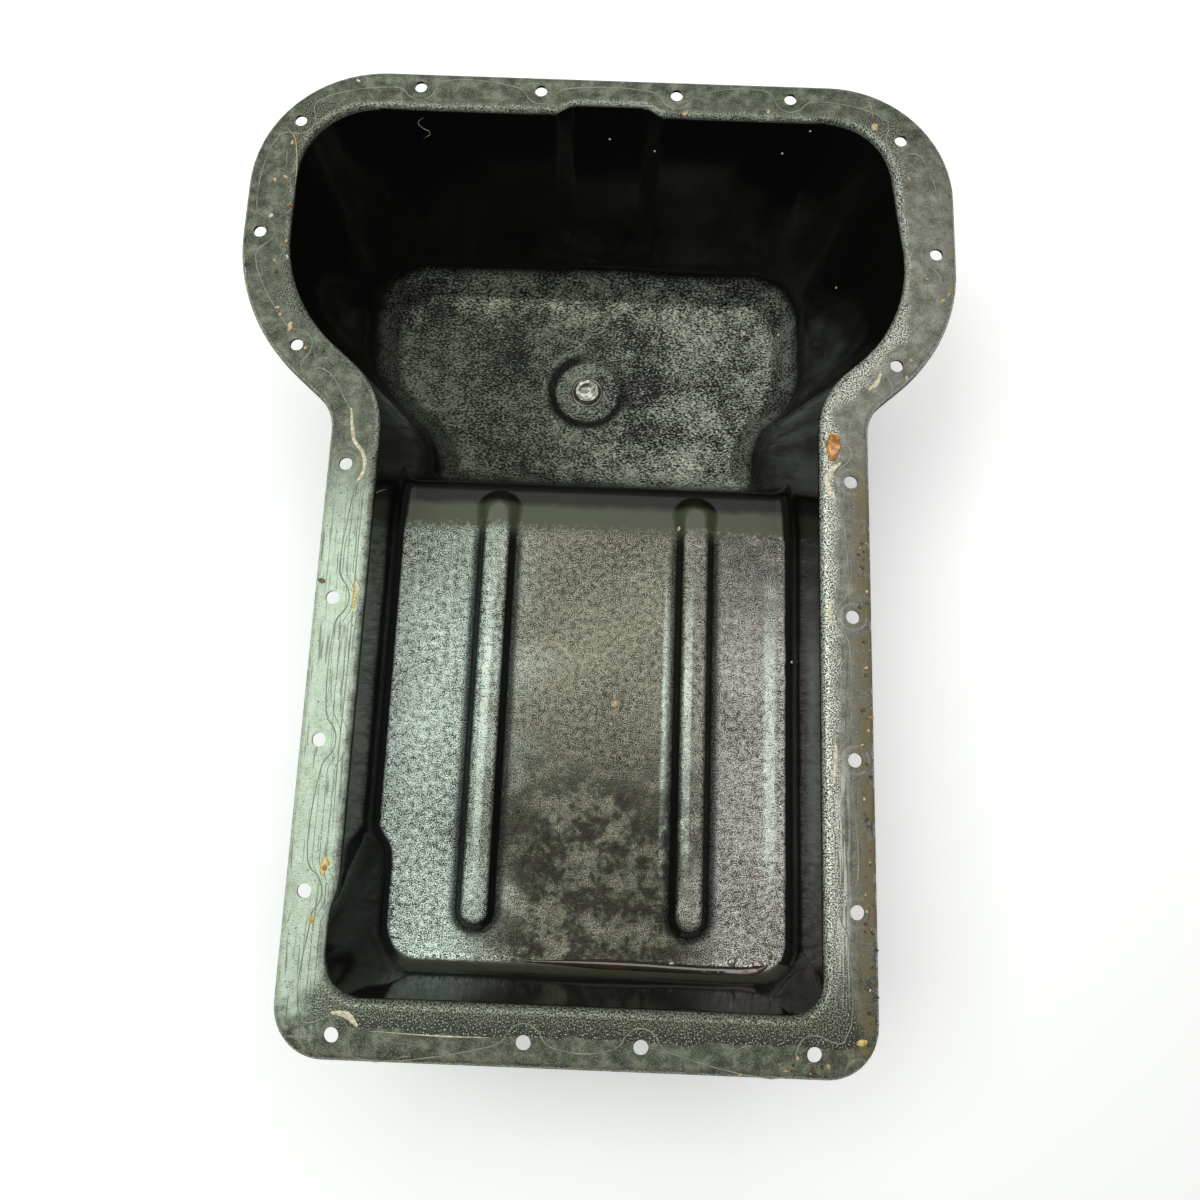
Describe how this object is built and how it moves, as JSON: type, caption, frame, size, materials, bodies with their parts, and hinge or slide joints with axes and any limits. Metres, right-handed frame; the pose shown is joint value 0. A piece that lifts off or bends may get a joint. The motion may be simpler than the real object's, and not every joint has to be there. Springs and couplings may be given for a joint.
{
  "type": "engine oil pan",
  "caption": "Pressed-steel engine oil pan: bolted flange, shallow ribbed tray, deep sump at one end, screw-in drain plug.",
  "frame": {"origin": "centre of the four corner holes of the two straight rails, on the gasket face", "axes": "+Z out of the open side, square to the gasket face, +Y along the pan towards the deep sump, +X to the right seen from the open side"},
  "size_m": [0.397, 0.53, 0.1651],
  "materials": {
    "pan_steel": "worn grey-green coat on the flange, oil-wet black inside",
    "boss_steel": "oil-stained bare steel",
    "washer_copper": "dull copper",
    "plug_steel": "oily zinc-plated steel"
  },
  "bodies": {
    "pan": {"oil_pan_pressing": "pan_steel", "drain_boss": "boss_steel"},
    "washer": {"drain_washer": "washer_copper"},
    "plug": {"drain_plug": "plug_steel"}
  },
  "joints": [
    {"name": "plug_travel", "type": "slide", "parent": "pan", "child": "washer", "axis": [0, 0, -1], "range_m": [0, 0.013]},
    {"name": "plug_turn", "type": "hinge", "parent": "washer", "child": "plug", "pos_m": [-0.012, 0.2165, -0.1526], "axis": [0, 0, -1], "range_deg": [0, 3115]}
  ],
  "couplings": [
    {"joint": "plug_travel", "follows": "plug_turn", "m_per_rad": 0.00023873}
  ]
}
